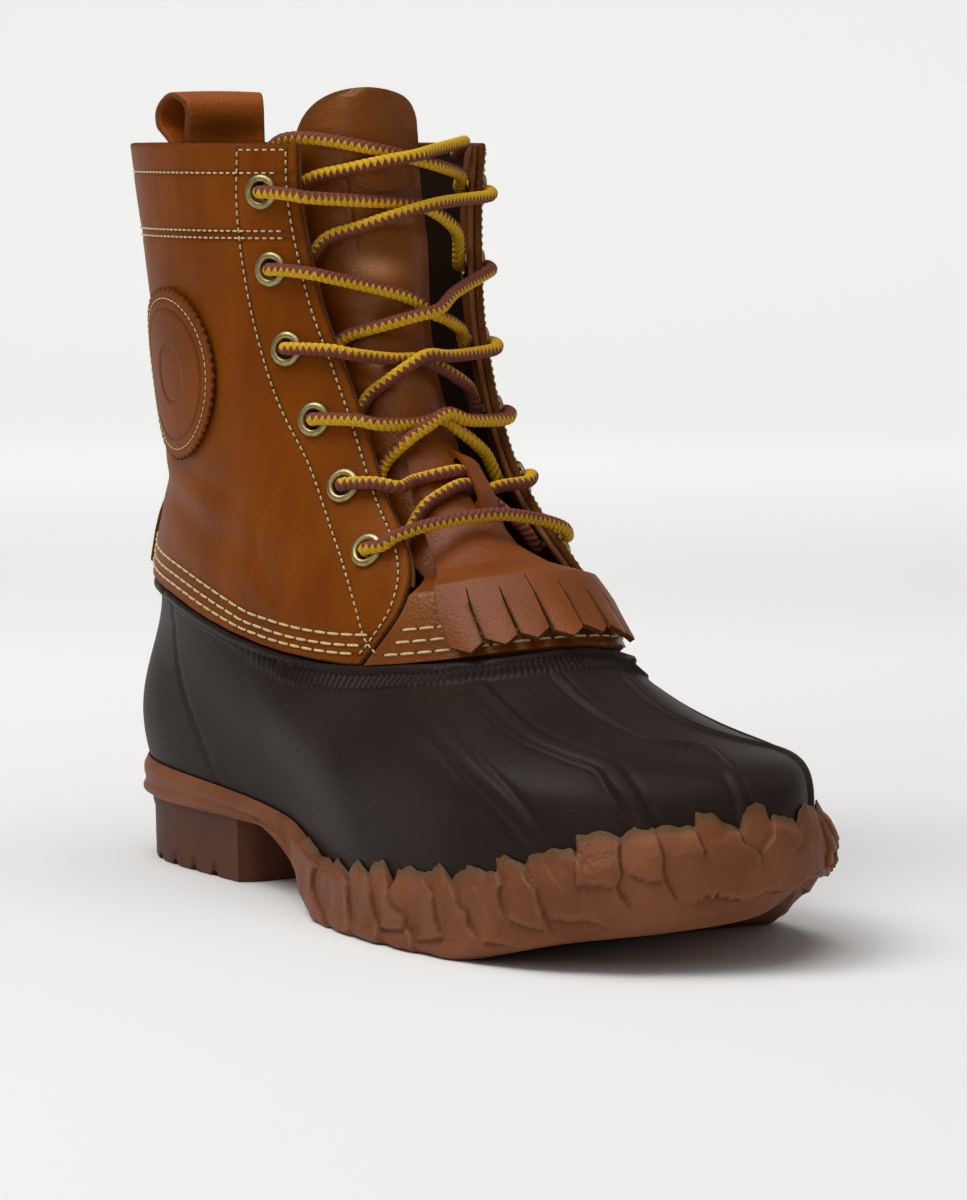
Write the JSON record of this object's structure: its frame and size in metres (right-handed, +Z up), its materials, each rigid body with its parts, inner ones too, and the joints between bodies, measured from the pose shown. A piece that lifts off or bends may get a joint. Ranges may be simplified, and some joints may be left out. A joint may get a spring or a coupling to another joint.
{
  "type": "lace-up rubber-bottom boot",
  "caption": "Right lace-up boot with a tan leather leg, dark rubber foot, gum cup sole, fringed kiltie, brass eyelets and a rear pull loop.",
  "frame": {"origin": "middle of the boot's box on the floor", "axes": "+Z up from the floor, toe towards -Y, heel towards +Y, lateral (outer) side towards -X"},
  "size_m": [0.1163, 0.3038, 0.2317],
  "materials": {
    "gum_sole": "matte moulded gum rubber",
    "heel_rubber": "matte rubber",
    "footbed": "felted board",
    "rubber": "satin grained rubber",
    "leather": "full-grain leather with a soft sheen",
    "brass": "antique brass",
    "lace": "two-colour braided cord"
  },
  "bodies": {
    "root": {"outsole": "gum_sole", "heel_block": "heel_rubber", "insole": "footbed", "rubber_bottom": "rubber", "leather_shaft": "leather", "tongue": "leather", "kiltie": "leather", "back_stay": "leather", "pull_loop": "leather", "badge_patch": "leather", "eyelet_lateral_1": "brass", "eyelet_lateral_2": "brass", "eyelet_lateral_3": "brass", "eyelet_lateral_4": "brass", "eyelet_lateral_5": "brass", "eyelet_lateral_6": "brass", "eyelet_medial_1": "brass", "eyelet_medial_2": "brass", "eyelet_medial_3": "brass", "eyelet_medial_4": "brass", "eyelet_medial_5": "brass", "eyelet_medial_6": "brass", "lace_bar": "lace", "lace_cross_1": "lace", "lace_cross_2": "lace", "lace_cross_3": "lace", "lace_cross_4": "lace", "lace_cross_5": "lace", "lace_top": "lace"}
  },
  "joints": []
}
